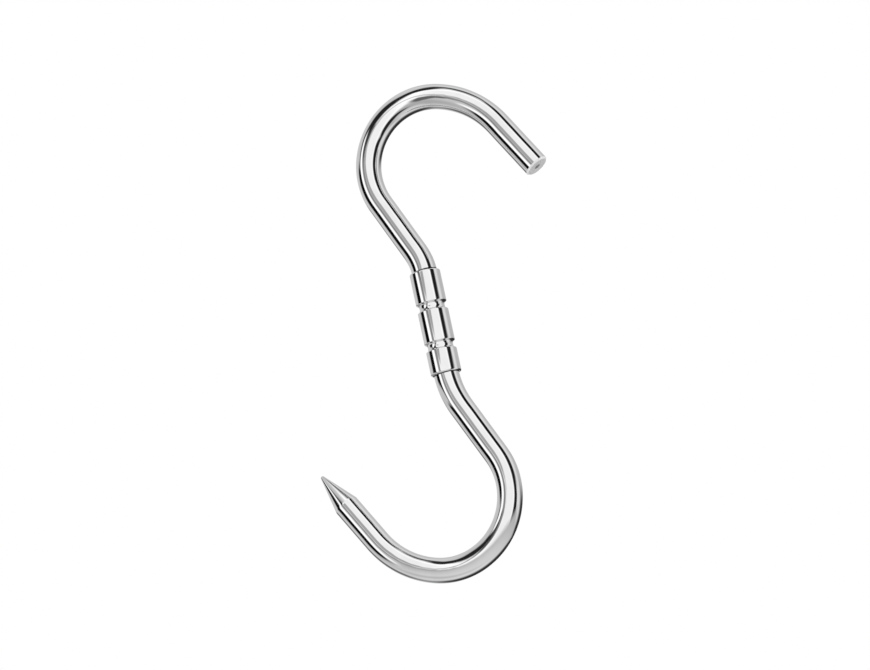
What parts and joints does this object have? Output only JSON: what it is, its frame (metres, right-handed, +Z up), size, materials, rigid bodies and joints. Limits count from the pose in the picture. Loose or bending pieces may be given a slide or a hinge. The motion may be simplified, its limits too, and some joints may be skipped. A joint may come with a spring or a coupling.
{
  "type": "meat hook",
  "caption": "Polished round-bar S-shaped meat hook: blunt rail hook above, pointed hook below, turning freely in a rolled swivel sleeve.",
  "frame": {"origin": "where the rail touches the inside of the upper bend", "axes": "+Z up as the hook hangs, through the point where the load hangs; the hooks lie in the XZ plane, the blunt end towards +X"},
  "size_m": [0.1172, 0.0146, 0.2372],
  "materials": {
    "upper_bar": "mirror-polished stainless steel, drawn round bar",
    "sleeve": "mirror-polished stainless steel tube with two rolled grooves",
    "lower_bar": "mirror-polished stainless steel, drawn round bar with a ground point"
  },
  "bodies": {
    "upper_hook": {"upper_hook": "upper_bar"},
    "swivel_sleeve": {"swivel_sleeve": "sleeve"},
    "lower_hook": {"lower_hook": "lower_bar"}
  },
  "joints": [
    {"name": "sleeve_turn", "type": "hinge", "parent": "upper_hook", "child": "swivel_sleeve", "pos_m": [-0.0005, 0, -0.10216], "axis": [-0.1845, 0, 0.9828], "continuous": true},
    {"name": "lower_hook_swivel", "type": "hinge", "parent": "swivel_sleeve", "child": "lower_hook", "pos_m": [-0.0005, 0, -0.10216], "axis": [-0.1845, 0, 0.9828], "continuous": true}
  ]
}
